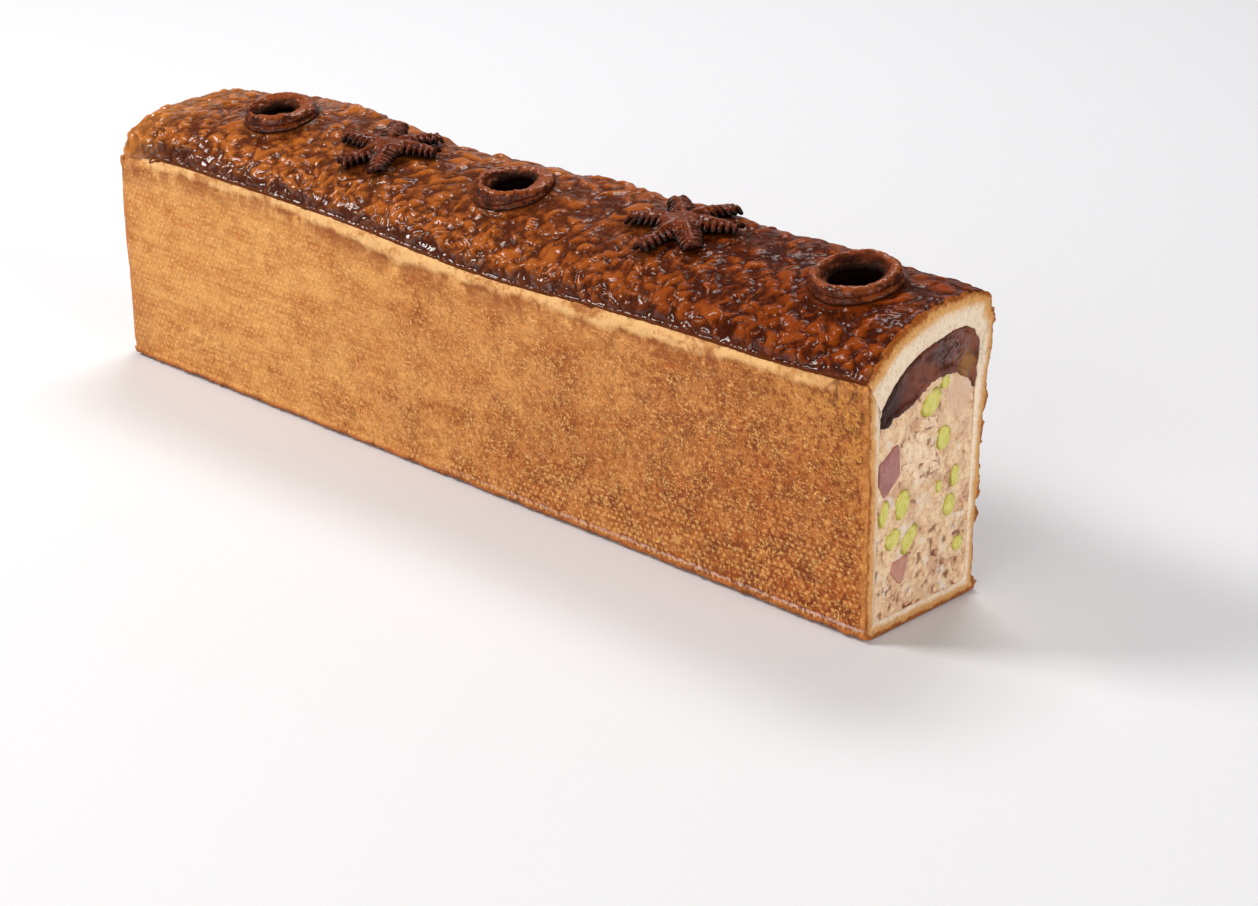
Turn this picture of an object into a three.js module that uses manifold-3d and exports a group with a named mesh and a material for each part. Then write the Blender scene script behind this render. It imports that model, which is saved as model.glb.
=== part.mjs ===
// A long pate en croute, cut across at one end: a moulded pastry case, a vaulted pastry lid with
// three steam chimneys and two pastry stars, and at the cut the jelly, the forcemeat and its garnish.
// Millimetres, +Z up. +X runs along the loaf to the cut face, and the origin is under its middle.
import * as THREE from 'three';
import { mergeVertices } from 'three/addons/utils/BufferGeometryUtils.js';
import Module from 'manifold-3d';

const wasm = await Module();
wasm.setup();

// Driving dimensions, in millimetres
const loafLength = 417;
const halfLength = loafLength / 2;
const baseHalfWidth = 30.8;
const frontFlare = 3.3;
const backFlare = 3.6;
const backBulge = 2.4;
const backBulgeHeight = 95;
const backBulgeSpread = 9;
const wallThickness = 5;
const endWallThickness = 6;
const floorThickness = 5.5;
const bottomEdgeRadius = 3;
const footBendShare = 0.3;
const footStep = 0.05;
const endBottomRadius = 9;
const endCornerRadius = 6;
const lidEndRadius = 7.5;
const endTopRound = 3;
const endTopRoundReach = 5;
const endTopRoundStart = 74;
const endTopRoundRise = 14;
const lidSetBack = 1.4;
const lidEndRound = 7.5;
const frontSeamDroop = 7;
const backSeamDroop = 14;
const seamDroopReach = 24;
const frontHaunchShare = 0.5;
const backHaunchShare = 0.15;
const lidEndDip = 8.4;
const lidEndDipReach = 52;
// Fuller front haunch at the uncut end: height, place on the arch and spread there
const lidEndHaunch = [5.8, 0.3, 0.22];
const fitGap = 0.3;
const seamGap = 0.6;
const seamClearShare = 0.06;
const underLidShare = 0.98;
// Hollows along the lid at its front and its back edge: depth, place along, spread
const frontSag = [4, 18, 62];
const backSag = [4.8, -52, 46];
const cutBlendLength = 45;
const lidRise = 20;
const flarePower = 1.9;
const flareHeight = 100;
const innerCornerBend = 2.2;
const innerWallMiddle = 45;
const jellyGap = 0.5;

// Baked relief: blisters on the lid and slow waves in the moulded walls, with the length of one swell
const blisterHeight = 0.9;
const blisterLength = 8.5;
const blistersAcross = 17;
const blisterEdgeFade = 12;
const wallWaveHeight = 0.35;
const wallWaveLength = 21;
const wallWaveRise = 15;
const wallWaveFade = 20;

// Steps along and round the pieces
const stationCount = 38;
const fillingStationCount = 14;
const nearEndSteps = [0, 3.5, 7.5, 12, 17, 23];
const nearEndLength = 30;
const lidOuterSteps = 18;
const lidInnerSteps = 10;
const wallSteps = 7;
const fillingSteps = 9;
const cavityPoints = 8;
const roundSteps = 20;

// The lid's outer arch and inner vault, front seam to back seam, as across and up
const lidOuterAlong = [
  [-34.0, 94.8], [-32.4, 99.8], [-27.2, 105.0], [-16.5, 110.8], [-3, 114.6],
  [10, 117.0], [23, 117.6], [32.6, 115.4], [35.2, 108.3],
];
const lidOuterAtCut = [
  [-34.2, 97.8], [-28.7, 103.5], [-22.5, 108.3], [-10.7, 113.9], [3.8, 116.8],
  [16, 117.3], [27.6, 116.4], [34.2, 113.4], [34.8, 108.0],
];
const lidInner = [
  [-26.3, 84.2], [-22, 89.4], [-16.5, 94.9], [-7.4, 100.4], [4.8, 103.1],
  [15, 104.8], [22.5, 103.6], [26.2, 98.4], [26.6, 92.4],
];
const forcemeatTop = [
  [-26, 78], [-15.6, 81.6], [-6.4, 85.0], [2.9, 89.3], [10.7, 90.2], [18.2, 87.5], [22.6, 82.6],
  [25.8, 80.2],
];

// Chimneys on the lid: along, across, outer radius, hole radius, and lean to the front in degrees
const chimneys = [[-134.8, 0, 15.8, 9.6, 7], [3.5, 0.5, 16.3, 10.4, 6], [171.8, 2.4, 17.2, 11.6, 11]];
const chimneyHeight = 6;
const chimneyHoleTaper = 0.8;
const throughLid = 60;
// Stars on the lid, laid by hand: along, across, arm length, and the way each arm points in degrees
const stars = [
  [-69.8, 1, 22.5, [18, 66, 128, 190, 252, 303]],
  [86.4, 5.9, 24, [15, 73, 138, 196, 268, 321]],
];
const starThickness = 5.2;
const starTeeth = 4;
const starSpineHalfWidth = 1.9;
const starToothWidth = 2.8;
const starToothSlant = 1.9;
const starRootDepth = 4;
// Shares of an arm's length: first tooth, step to the next, reach of a tooth and how much each one
// is shorter, tip width, and the notch between two arms
const starFirstTooth = 0.36;
const starToothStep = 0.155;
const starToothReach = 0.175;
const starToothTaper = 0.012;
const starTipShare = 0.8;
const starNotch = 0.27;
// Height of the star at its middle and its loss to the tips, as shares of its thickness
const starMiddleHeight = 1.1;
const starTipLoss = 0.3;

// Pistachio pieces on the cut face: across, up, length, width, tilt in degrees
const pistachioPieces = [
  [8.9, 87.0, 6.2, 4.6, 59], [1.4, 81.0, 12.4, 8.6, 40], [9.1, 65.8, 9.4, 7.4, 70],
  [16.6, 49.3, 9.0, 4.6, 82], [7.8, 47.6, 4.6, 3.4, 80], [14.1, 38.7, 8.4, 6.8, 82],
  [-12.5, 46.7, 11.4, 7.8, 74], [-22.4, 45.9, 10.8, 4.2, 76], [-16.8, 34.9, 9.0, 6.8, 42],
  [-8.0, 32.2, 12.6, 5.8, 52], [20.1, 22.0, 6.4, 5.2, 72],
];
const pinkMeatOutlines = [
  [[-23.2, 52.9], [-15.5, 59.3], [-16.5, 70.0], [-25.4, 65.1], [-25.3, 57.3]],
  [[-12.2, 16.7], [-9.9, 21.9], [-8.9, 26.1], [-15.8, 25.2], [-17.0, 22.5]],
];
const poultryOutlines = [
  [[0.7, 53.1], [8.2, 55.2], [4.3, 62.2], [3.4, 67.2], [-2.1, 70.4], [-8.7, 72.1], [-13.6, 69.4],
    [-14.6, 64.2], [-13.2, 60.1], [-5.1, 54.5]],
  [[0.6, 71.4], [6.5, 71.9], [7.0, 75.0], [-3.3, 75.2], [-5.5, 73.6]],
];
const garnishDepth = 13;
const pistachioDepthShare = 0.6;
const pistachioSetBackShare = 0.12;

// Colours of the baked pastry and the fillings
const finishes = {
  crust: { color: 0xc08a4c, roughness: 0.75 },
  glaze: { color: 0x7a3c1a, roughness: 0.35 },
  darkGlaze: { color: 0x4a2415, roughness: 0.45 },
  jelly: { color: 0x4a2a20, roughness: 0.15 },
  forcemeat: { color: 0xd6b394, roughness: 0.55 },
  poultry: { color: 0xe0c4a0, roughness: 0.6 },
  pinkMeat: { color: 0xae7870, roughness: 0.45 },
  pistachio: { color: 0xc6c255, roughness: 0.45 },
};

// Repeatable noise between -1 and 1, smooth over unit cells
function cellValue(i, j, seed) {
  const wave = Math.sin(i * 127.1 + j * 311.7 + seed * 74.7) * 43758.5453;
  return 2 * (wave - Math.floor(wave)) - 1;
}

function smoothNoise(u, v, seed) {
  const i = Math.floor(u);
  const j = Math.floor(v);
  const a = THREE.MathUtils.smoothstep(u - i, 0, 1);
  const b = THREE.MathUtils.smoothstep(v - j, 0, 1);
  const near = THREE.MathUtils.lerp(cellValue(i, j, seed), cellValue(i + 1, j, seed), a);
  const far = THREE.MathUtils.lerp(cellValue(i, j + 1, seed), cellValue(i + 1, j + 1, seed), a);
  return THREE.MathUtils.lerp(near, far, b);
}

// A smooth curve through points given as across and up
function curveThrough(points) {
  return new THREE.SplineCurve(points.map(([y, z]) => new THREE.Vector2(y, z)));
}

const outerAlongCurve = curveThrough(lidOuterAlong);
const outerAtCutCurve = curveThrough(lidOuterAtCut);
const innerCurve = curveThrough(lidInner);
const forcemeatCurve = curveThrough(forcemeatTop);

// How far the lid hangs lower at a station along the loaf, t from the front seam to the back seam
function sag(x, t) {
  const hollow = ([depth, place, spread]) => depth * Math.exp(-(((x - place) / spread) ** 2));
  return THREE.MathUtils.lerp(hollow(frontSag), hollow(backSag), THREE.MathUtils.smoothstep(t, 0, 1));
}

// How far a rounded edge of the given radius draws in at a distance from the end it starts at
function edgeInset(fromEnd, radius) {
  const left = radius - fromEnd;
  return left > 0 ? radius - Math.sqrt(Math.max(0, radius ** 2 - left ** 2)) : 0;
}

// Point on the lid's outer arch, t from the front seam to the back seam, with its baked blisters
function lidOuterPoint(x, t) {
  const blend = THREE.MathUtils.smoothstep(x, halfLength - cutBlendLength, halfLength);
  const along = outerAlongCurve.getPoint(t);
  const point = along.clone().lerp(outerAtCutCurve.getPoint(t), blend);
  const slope = outerAlongCurve.getTangent(t);
  const edgeFade = Math.min(1, blisterEdgeFade * t, blisterEdgeFade * (1 - t));
  const blister = blisterHeight * edgeFade * smoothNoise(x / blisterLength, t * blistersAcross, 3);
  const fromEnd = x + halfLength - lidSetBack;
  const inset = edgeInset(fromEnd, lidEndRadius);
  const across = point.x - slope.y * blister;
  const up = point.y + slope.x * blister - sag(x, t);
  const nearEnd = Math.exp(-((fromEnd / lidEndDipReach) ** 2));
  const drop = edgeInset(fromEnd, lidEndRound) + lidEndDip * nearEnd;
  const droop = THREE.MathUtils.lerp(frontSeamDroop, backSeamDroop, t)
    * Math.exp(-((fromEnd / seamDroopReach) ** 2));
  const rise = Math.min(1, t / frontHaunchShare, (1 - t) / backHaunchShare);
  const [haunch, haunchPlace, haunchSpread] = lidEndHaunch;
  const full = haunch * nearEnd * Math.exp(-(((t - haunchPlace) / haunchSpread) ** 2));
  const lowered = drop * rise + droop * (1 - rise);
  return new THREE.Vector2(across * (1 - inset / lidOuterAlong.at(-1)[0]), up - lowered + full);
}

function lidInnerPoint(x, t) {
  const point = innerCurve.getPoint(t);
  point.y -= sag(x, t);
  return point;
}

// Half width of the case at a height, on the front or the back
function wallReach(z, side) {
  const flare = side < 0 ? frontFlare : backFlare;
  const bulge = side < 0 ? 0 : backBulge * Math.exp(-(((z - backBulgeHeight) / backBulgeSpread) ** 2));
  return baseHalfWidth + flare * (z / flareHeight) ** flarePower + bulge;
}

// Outline set at a station
function ring(points, x) {
  return points.map((point) => new THREE.Vector3(x, point.x, point.y));
}

// Outline of the case set at a station; its uncut end is rounded in at the top, under the lid
function caseRing(points, x) {
  const near = Math.max(0, 1 - (x + halfLength) / endTopRoundReach);
  return points.map((point) => {
    const rise = THREE.MathUtils.clamp((point.y - endTopRoundStart) / endTopRoundRise, 0, 1);
    return new THREE.Vector3(x + near * endTopRound * rise ** 2, point.x, point.y);
  });
}

// Closed skin over equal rings that run along +X, counter-clockwise seen from the cut
function loft(rings) {
  const count = rings[0].length;
  const positions = rings.flat().flatMap((point) => point.toArray());
  const faces = [];
  for (let k = 0; k + 1 < rings.length; k += 1) {
    for (let i = 0; i < count; i += 1) {
      const next = (i + 1) % count;
      const a = k * count + i;
      const b = k * count + next;
      const c = b + count;
      const d = a + count;
      faces.push(a, b, c, a, c, d);
    }
  }
  const flat = (points) => points.map((point) => new THREE.Vector2(point.y, point.z));
  const capOf = (points) => THREE.ShapeUtils.triangulateShape(flat(points), []);
  const last = (rings.length - 1) * count;
  faces.push(...capOf(rings[0]).flatMap(([a, b, c]) => [a, c, b]));
  faces.push(...capOf(rings.at(-1)).flat().map((corner) => last + corner));
  const geometry = new THREE.BufferGeometry();
  geometry.setAttribute('position', new THREE.Float32BufferAttribute(positions, 3));
  geometry.setIndex(faces);
  return geometry;
}

// Closed geometry as a solid that can be joined and cut, and back
function solidOf(geometry) {
  const bare = geometry.clone();
  bare.deleteAttribute('normal');
  bare.deleteAttribute('uv');
  const merged = mergeVertices(bare, 1e-3);
  return new wasm.Manifold(new wasm.Mesh({
    numProp: 3,
    vertProperties: new Float32Array(merged.attributes.position.array),
    triVerts: new Uint32Array(merged.index.array),
  }));
}

function geometryOf(solid) {
  const mesh = solid.getMesh();
  const geometry = new THREE.BufferGeometry();
  geometry.setAttribute('position', new THREE.BufferAttribute(mesh.vertProperties, 3));
  geometry.setIndex(new THREE.BufferAttribute(mesh.triVerts, 1));
  return geometry;
}

const loaf = new THREE.Group();

function addPiece(name, geometry, finish) {
  geometry.computeVertexNormals();
  const mesh = new THREE.Mesh(geometry, new THREE.MeshStandardMaterial({ ...finish, metalness: 0 }));
  mesh.name = name;
  loaf.add(mesh);
}

// Stations along the loaf, evenly to the cut
function stations(from, count) {
  const step = (halfLength - from) / count;
  return Array.from({ length: count + 1 }, (_, k) => from + k * step);
}

const caseEndStations = [0, 0.7, 2, 3.8].map((e) => e - halfLength);
const lidEndStations = [0, 0.5, 1.6, 3.2].map((e) => e + lidSetBack - halfLength);
const innerFaceSlant = 0.2;
const caseEndInside = endWallThickness - halfLength - fitGap - innerFaceSlant;
const caseOpenStart = caseEndInside + innerFaceSlant;
const lidEndInside = caseOpenStart + fitGap;
const lidOpenStart = lidEndInside + innerFaceSlant;
const fillingStart = lidOpenStart + fitGap;

// Vaulted lid. Past the end wall it is an arch over the filling, and over the end wall it is solid
function lidArch(x) {
  return Array.from({ length: lidOuterSteps + 1 }, (_, k) => lidOuterPoint(x, k / lidOuterSteps));
}

function lidSection(x, open) {
  const arch = lidArch(x);
  const vault = Array.from({ length: lidInnerSteps + 1 }, (_, k) => {
    const t = k / lidInnerSteps;
    const clearOfSeam = THREE.MathUtils.lerp(seamClearShare, 1 - seamClearShare, t);
    return open ? lidInnerPoint(x, t) : arch[0].clone().lerp(arch.at(-1), clearOfSeam);
  });
  return [...vault, ...arch.reverse()];
}

const lidStations = [
  ...nearEndSteps.map((step) => lidOpenStart + step),
  ...stations(lidOpenStart + nearEndLength, stationCount),
];
const lidBody = solidOf(loft([
  ...lidEndStations.map((x) => ring(lidSection(x, false), x)),
  ring(lidSection(lidEndInside, false), lidEndInside),
  ...lidStations.map((x) => ring(lidSection(x, true), x)),
]));

// The lid's outside as a full solid, lifted by the fitting gap: what stands on the lid is cut by it
function fullLidSection(x) {
  const arch = lidArch(x);
  const under = [arch[0], arch.at(-1)].map((p) => new THREE.Vector2(p.x, p.y - lidRise));
  return [...under, ...arch.reverse()].map((p) => new THREE.Vector2(p.x, p.y + fitGap));
}

const liftedLid = solidOf(loft([
  ...lidEndStations.map((x) => ring(fullLidSection(x), x)),
  ring(fullLidSection(lidEndInside), lidEndInside),
  ...lidStations.map((x) => ring(fullLidSection(x), x)),
]));

// Height of the lid's outside over a place
function lidTopHeight(x, y) {
  const tries = 100;
  let best = lidOuterPoint(x, 0);
  for (let k = 1; k <= tries; k += 1) {
    const point = lidOuterPoint(x, k / tries);
    if (Math.abs(point.x - y) < Math.abs(best.x - y)) best = point;
  }
  return best.y;
}

// Chimney hole down through the lid to the jelly
function chimneyHole([x, y, , holeRadius, lean]) {
  const hole = new THREE.CylinderGeometry(holeRadius, holeRadius - chimneyHoleTaper, throughLid, roundSteps);
  hole.rotateX(Math.PI / 2 + THREE.MathUtils.degToRad(lean));
  hole.translate(x, y, lidTopHeight(x, y));
  return solidOf(hole);
}

const lidWithHoles = chimneys.reduce((solid, spot) => solid.subtract(chimneyHole(spot)), lidBody);
addPiece('pastry_lid', geometryOf(lidWithHoles), finishes.glaze);

// Pastry case: bottom, two long walls and the end wall, open at the cut. Its top edges slope
// inwards under the lid
function caseSection(x, open) {
  const [frontSeam, backSeam] = [0, 1].map((t) => lidOuterPoint(x, t));
  const cornerInset = edgeInset(x + halfLength, endCornerRadius);
  const bottomInset = edgeInset(x + halfLength, endBottomRadius);
  const wallPoint = (side, z) => {
    const swell = smoothNoise(x / wallWaveLength, z / wallWaveRise, side + 5);
    const wave = wallWaveHeight * swell * Math.min(1, z / wallWaveFade);
    const reach = wallReach(z, side) - cornerInset + wave;
    return new THREE.Vector2(side * reach, Math.max(z, bottomInset + 2 * footStep));
  };
  const wall = (side, seam) => Array.from({ length: wallSteps + 1 }, (_, k) => {
    const z = THREE.MathUtils.lerp(bottomEdgeRadius, seam.y - seamGap, k / wallSteps);
    const point = wallPoint(side, z);
    if (k === wallSteps) point.x = side * Math.max(Math.abs(seam.x), wallReach(z, side) - cornerInset);
    return point;
  });
  const front = wall(-1, frontSeam);
  const back = wall(1, backSeam);
  const bend = bottomEdgeRadius * footBendShare;
  const foot = (side) => {
    const reach = wallReach(0, side) - cornerInset;
    return [
      new THREE.Vector2(side * (reach - bottomEdgeRadius), bottomInset),
      new THREE.Vector2(side * (reach - bend), Math.max(bend, bottomInset + footStep)),
    ];
  };
  const outside = [...front.reverse(), ...foot(-1).reverse(), ...foot(1), ...back];
  const innerTops = [1, 0].map((t) => lidInnerPoint(x, t));
  const underLid = [backSeam, frontSeam].map((p) => new THREE.Vector2(p.x * underLidShare, p.y - seamGap));
  const inside = open ? cavityOutline(innerTops) : Array.from({ length: cavityPoints }, (_, k) => (
    underLid[0].clone().lerp(underLid[1], k / (cavityPoints - 1))
  ));
  return [...outside, ...inside];
}

// Inside of the case from its back edge down, along the floor and up to the front edge
function cavityOutline([backTop, frontTop]) {
  const foot = baseHalfWidth - wallThickness;
  return [
    new THREE.Vector2(backTop.x, backTop.y - seamGap),
    new THREE.Vector2(foot, innerWallMiddle),
    new THREE.Vector2(foot, floorThickness + innerCornerBend),
    new THREE.Vector2(foot - innerCornerBend, floorThickness),
    new THREE.Vector2(innerCornerBend - foot, floorThickness),
    new THREE.Vector2(-foot, floorThickness + innerCornerBend),
    new THREE.Vector2(-foot, innerWallMiddle),
    new THREE.Vector2(frontTop.x, frontTop.y - seamGap),
  ];
}

addPiece('pastry_case', loft([
  ...caseEndStations.map((x) => caseRing(caseSection(x, false), x)),
  caseRing(caseSection(caseEndInside, false), caseEndInside),
  caseRing(caseSection(caseOpenStart, true), caseOpenStart),
  ...lidStations.map((x) => caseRing(caseSection(x, true), x)),
]), finishes.crust);

// Fillings run the whole length of the case, the jelly as a crescent over the forcemeat
function forcemeatTopAt(x, lift) {
  const foot = baseHalfWidth - wallThickness - fitGap;
  return Array.from({ length: fillingSteps + 1 }, (_, k) => {
    const t = k / fillingSteps;
    const point = forcemeatCurve.getPoint(t);
    const across = THREE.MathUtils.clamp(point.x, -foot, foot);
    return new THREE.Vector2(across, point.y - sag(x, t) + lift);
  });
}

function forcemeatSection(x) {
  const top = forcemeatTopAt(x, 0);
  const floorLevel = floorThickness + fitGap;
  const foot = baseHalfWidth - wallThickness - fitGap;
  const bend = innerCornerBend + fitGap;
  const bottom = [
    new THREE.Vector2(-foot, floorLevel + bend),
    new THREE.Vector2(-foot + bend, floorLevel),
    new THREE.Vector2(foot - bend, floorLevel),
    new THREE.Vector2(foot, floorLevel + bend),
  ];
  return [...bottom, ...top.reverse()];
}

function jellySection(x) {
  const bottom = forcemeatTopAt(x, jellyGap);
  const top = Array.from({ length: lidInnerSteps + 1 }, (_, k) => {
    const t = k / lidInnerSteps;
    const point = lidInnerPoint(x, t);
    const slope = innerCurve.getTangent(t);
    return new THREE.Vector2(point.x + slope.y * jellyGap, point.y - slope.x * jellyGap);
  });
  return [...bottom, ...top.reverse()];
}

const fillingStations = stations(fillingStart, fillingStationCount);
addPiece('jelly', loft(fillingStations.map((x) => ring(jellySection(x), x))), finishes.jelly);

// Garnish set in the forcemeat and cut flush with the face
function pistachioShape([y, z, long, wide, tilt], grow) {
  const kernel = new THREE.SphereGeometry(1, 10, 6);
  kernel.scale(wide * pistachioDepthShare + grow, long / 2 + grow, wide / 2 + grow);
  kernel.rotateX(THREE.MathUtils.degToRad(tilt));
  kernel.translate(halfLength - wide * pistachioSetBackShare, y, z);
  return solidOf(kernel);
}

function meatShape(outline, grow) {
  const middle = outline.reduce((sum, [y, z]) => sum.add(new THREE.Vector2(y, z)), new THREE.Vector2())
    .divideScalar(outline.length);
  const pastCut = 2;
  const levels = [[-garnishDepth - grow, 0.8], [-garnishDepth / 2, 1], [pastCut, 1]];
  const rings = levels.map(([depth, shrink]) => (
    outline.map(([y, z]) => {
      const arm = new THREE.Vector2(y, z).sub(middle).multiplyScalar(shrink);
      arm.setLength(arm.length() + grow);
      return new THREE.Vector3(halfLength + depth, middle.x + arm.x, middle.y + arm.y);
    })
  ));
  return solidOf(loft(rings));
}

const garnish = [
  ...pistachioPieces.map((piece, k) => ({
    name: `pistachio_${String(k + 1).padStart(2, '0')}`,
    shape: (grow) => pistachioShape(piece, grow),
    finish: finishes.pistachio,
  })),
  ...pinkMeatOutlines.map((outline, k) => ({
    name: `pink_meat_${k + 1}`,
    shape: (grow) => meatShape(outline, grow),
    finish: finishes.pinkMeat,
  })),
  ...poultryOutlines.map((outline, k) => ({
    name: `poultry_chunk_${k + 1}`,
    shape: (grow) => meatShape(outline, grow),
    finish: finishes.poultry,
  })),
];

const beyondCutSize = 400;
const beyondCut = new THREE.BoxGeometry(beyondCutSize, beyondCutSize, beyondCutSize);
beyondCut.translate(halfLength + beyondCutSize / 2, 0, 0);
const beyondCutSolid = solidOf(beyondCut);
let forcemeat = solidOf(loft(fillingStations.map((x) => ring(forcemeatSection(x), x))));
for (const piece of garnish) {
  addPiece(piece.name, geometryOf(piece.shape(0).subtract(beyondCutSolid)), piece.finish);
  forcemeat = forcemeat.subtract(piece.shape(fitGap));
}
addPiece('forcemeat', geometryOf(forcemeat), finishes.forcemeat);

// Chimney: a rolled pastry ring round each hole, its foot cut to the lid
function chimney([x, y, outerRadius, holeRadius, lean]) {
  const lip = outerRadius - holeRadius;
  const foot = -chimneyHeight;
  const section = [
    [holeRadius, foot], [holeRadius + 0.2, chimneyHeight * 0.45],
    [holeRadius + 0.9, chimneyHeight * 0.88], [holeRadius + lip * 0.4, chimneyHeight],
    [holeRadius + lip * 0.7, chimneyHeight * 0.9], [outerRadius - 0.8, chimneyHeight * 0.6],
    [outerRadius - 1.0, chimneyHeight * 0.4], [outerRadius, chimneyHeight * 0.18],
    [outerRadius, foot], [holeRadius, foot],
  ].map(([r, z]) => new THREE.Vector2(r, z)).reverse();
  const body = new THREE.LatheGeometry(section, roundSteps);
  body.rotateX(Math.PI / 2 + THREE.MathUtils.degToRad(lean));
  body.translate(x, y, lidTopHeight(x, y));
  return geometryOf(solidOf(body).subtract(liftedLid));
}

chimneys.forEach((spot, k) => addPiece(`chimney_${k + 1}`, chimney(spot), finishes.darkGlaze));

// Star: six comb-edged arms cut from a thick pastry sheet and laid over the lid
function starOutline(starArm, armAngles) {
  const shape = [];
  const pointing = (degrees) => {
    const turn = THREE.MathUtils.degToRad(degrees);
    return new THREE.Vector2(Math.cos(turn), Math.sin(turn));
  };
  armAngles.forEach((angle, arm) => {
    const nextAngle = arm + 1 < armAngles.length ? armAngles[arm + 1] : armAngles[0] + 360;
    const along = pointing(angle);
    const side = new THREE.Vector2(-along.y, along.x);
    const place = (r, s) => along.clone().multiplyScalar(r).addScaledVector(side, s);
    const edge = [];
    for (let k = 0; k < starTeeth; k += 1) {
      const r = starArm * (starFirstTooth + starToothStep * k);
      const reach = starArm * (starToothReach - starToothTaper * k);
      edge.push(
        [r, starSpineHalfWidth],
        [r + starToothSlant, reach],
        [r + starToothWidth, starSpineHalfWidth],
      );
    }
    edge.push([starArm, starSpineHalfWidth * starTipShare]);
    shape.push(...edge.map(([r, s]) => place(r, -s)));
    shape.push(...edge.toReversed().map(([r, s]) => place(r, s)));
    shape.push(pointing((angle + nextAngle) / 2).multiplyScalar(starArm * starNotch));
  });
  return new THREE.Shape(shape);
}

function star([x, y, starArm, armAngles]) {
  const sheet = { depth: 1, steps: 1, bevelEnabled: false };
  const body = new THREE.ExtrudeGeometry(starOutline(starArm, armAngles), sheet);
  body.translate(x, y, 0);
  const position = body.attributes.position;
  for (let k = 0; k < position.count; k += 1) {
    const spot = new THREE.Vector2(position.getX(k), position.getY(k));
    const away = Math.hypot(spot.x - x, spot.y - y) / starArm;
    const top = position.getZ(k) > 0.5;
    const lift = top ? starThickness * (starMiddleHeight - starTipLoss * away) : -starRootDepth;
    position.setZ(k, lidTopHeight(spot.x, spot.y) + lift);
  }
  return geometryOf(solidOf(body).subtract(liftedLid));
}

stars.forEach((spot, k) => addPiece(`pastry_star_${k + 1}`, star(spot), finishes.darkGlaze));

// The origin goes under the middle of the loaf's box
const box = new THREE.Box3().setFromObject(loaf);
const middle = box.getCenter(new THREE.Vector3());
loaf.position.set(-middle.x, -middle.y, -box.min.z);

export default loaf;
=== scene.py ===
"""A long pate en croute, cut across at one end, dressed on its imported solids.

Metres, +Z up. +X runs along the loaf to the cut face, and -Y is the long side that faces the camera.
"""
import functools
import math

import bpy
import numpy as np
from mathutils import Matrix, Vector
from mathutils.bvhtree import BVHTree


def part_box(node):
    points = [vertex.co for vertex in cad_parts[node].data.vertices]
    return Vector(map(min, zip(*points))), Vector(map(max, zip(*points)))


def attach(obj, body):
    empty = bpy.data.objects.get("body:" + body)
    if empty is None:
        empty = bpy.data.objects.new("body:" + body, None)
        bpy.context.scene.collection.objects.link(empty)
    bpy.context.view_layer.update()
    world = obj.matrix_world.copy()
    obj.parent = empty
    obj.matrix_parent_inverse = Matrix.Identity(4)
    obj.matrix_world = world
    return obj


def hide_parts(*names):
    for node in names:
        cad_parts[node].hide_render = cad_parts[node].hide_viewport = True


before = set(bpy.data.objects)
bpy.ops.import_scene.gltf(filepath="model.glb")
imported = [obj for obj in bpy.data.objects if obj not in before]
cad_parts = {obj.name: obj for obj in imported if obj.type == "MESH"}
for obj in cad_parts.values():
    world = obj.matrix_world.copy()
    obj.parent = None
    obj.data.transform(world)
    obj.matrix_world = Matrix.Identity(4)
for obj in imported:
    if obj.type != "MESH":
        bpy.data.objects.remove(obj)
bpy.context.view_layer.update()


# Studio: a pale seamless floor, soft light from all sides and the camera. The camera stands past the
# cut end, looks down along the front of the loaf, and takes in the cut face at a slant.
bpy.context.scene.view_settings.view_transform = "Standard"

floor_size = 14
floor_gap = 0.0004
air_strength = 0.15
bpy.ops.object.select_all(action="DESELECT")
bpy.ops.mesh.primitive_plane_add(size=floor_size, location=(0, 0, -floor_gap))
floor = bpy.context.object
floor.name = "studio_floor"
floor_paper = bpy.data.materials.new("studio paper")
floor_paper.use_nodes = True
paper_shader = floor_paper.node_tree.nodes["Principled BSDF"]
paper_shader.inputs["Base Color"].default_value = (0.73, 0.725, 0.74, 1)
paper_shader.inputs["Roughness"].default_value = 0.85
floor.data.materials.append(floor_paper)

studio_air = bpy.data.worlds.new("studio air")
bpy.context.scene.world = studio_air
studio_air.use_nodes = True
air_shader = studio_air.node_tree.nodes["Background"]
air_shader.inputs["Color"].default_value = (0.97, 0.97, 1.0, 1)
air_shader.inputs["Strength"].default_value = air_strength


def soft_light(name, place, target, width, height, watts, colour):
    """A rectangular soft box that faces a target point."""
    bpy.ops.object.light_add(type="AREA", location=place)
    light = bpy.context.object
    light.name = name
    light.data.shape = "RECTANGLE"
    light.data.size = width
    light.data.size_y = height
    light.data.energy = watts
    light.data.color = colour
    aim = Vector(target) - Vector(place)
    light.rotation_euler = aim.to_track_quat("-Z", "Y").to_euler()


soft_light("key_box", (-1.1, -0.8, 1.3), (0, 0, 0.08), 0.6, 0.6, 26, (1, 0.99, 0.97))
soft_light("back_box", (-0.6, 0.9, 1.7), (0, 0, 0.1), 1.0, 0.6, 20, (1, 1, 1))
soft_light("front_box", (0.5, -1.7, 0.7), (0, 0, 0.06), 1.2, 0.9, 14, (1, 0.98, 0.95))
soft_light("backdrop_glow", (-1.6, 1.7, 0.6), (0, 0, 0.1), 2.2, 1.0, 5, (1, 1, 1))
soft_light("cut_side_box", (1.6, -0.1, 0.7), (0.2, 0, 0.06), 0.8, 0.8, 9.5, (1, 0.99, 0.98))

camera_place = Vector((0.80071, -0.77191, 0.4604))
camera_yaw = math.radians(43.68)
camera_pitch = math.radians(22.4)
camera_roll = math.radians(0.31)
photo_width = 1258
focal_length_in_pixels = 3002.87
sensor_width = 36

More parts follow.
